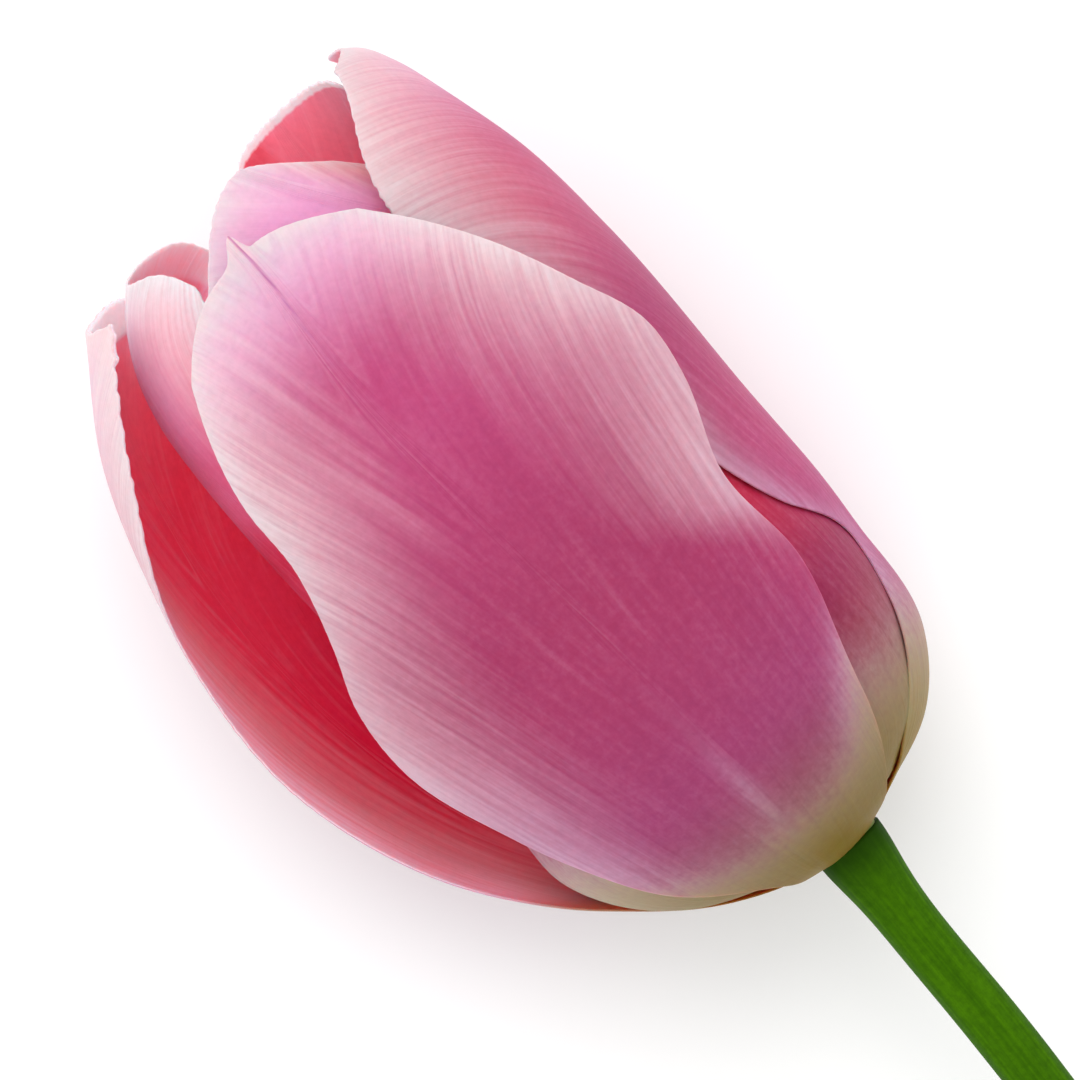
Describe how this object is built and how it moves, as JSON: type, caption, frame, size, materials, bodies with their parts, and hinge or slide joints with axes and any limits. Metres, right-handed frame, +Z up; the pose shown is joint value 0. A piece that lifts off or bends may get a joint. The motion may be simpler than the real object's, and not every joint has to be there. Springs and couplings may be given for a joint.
{
  "type": "cut tulip",
  "caption": "Cut tulip lying on its side: a closed cup of overlapping pink and crimson petals on a smooth green stem, with stamens and pistil inside.",
  "frame": {"origin": "centre of the bounding box, on the surface that the flower lies on", "axes": "+X from the cut end of the stem towards the tips of the petals, +Z up, away from the surface"},
  "size_m": [0.2336, 0.0566, 0.0531],
  "materials": {
    "outer_petal": "satin petal, deep pink with pale streaked margins, crimson inside",
    "inner_petal": "satin petal, pink outside fading to cream at the foot, crimson inside",
    "stem": "smooth waxy green stalk",
    "receptacle": "smooth pale green",
    "ovary": "smooth yellow green",
    "stigma": "velvety cream",
    "filament": "smooth cream",
    "anther": "dusty dark violet"
  },
  "bodies": {
    "root": {"outer_petal_front": "outer_petal", "outer_petal_right": "outer_petal", "outer_petal_left": "outer_petal", "inner_petal_left": "inner_petal", "inner_petal_right": "inner_petal", "inner_petal_back": "inner_petal", "stem": "stem", "receptacle": "receptacle", "ovary": "ovary", "stigma": "stigma", "filament_1": "filament", "filament_2": "filament", "filament_3": "filament", "filament_4": "filament", "filament_5": "filament", "filament_6": "filament", "anther_1": "anther", "anther_2": "anther", "anther_3": "anther", "anther_4": "anther", "anther_5": "anther", "anther_6": "anther"}
  },
  "joints": []
}
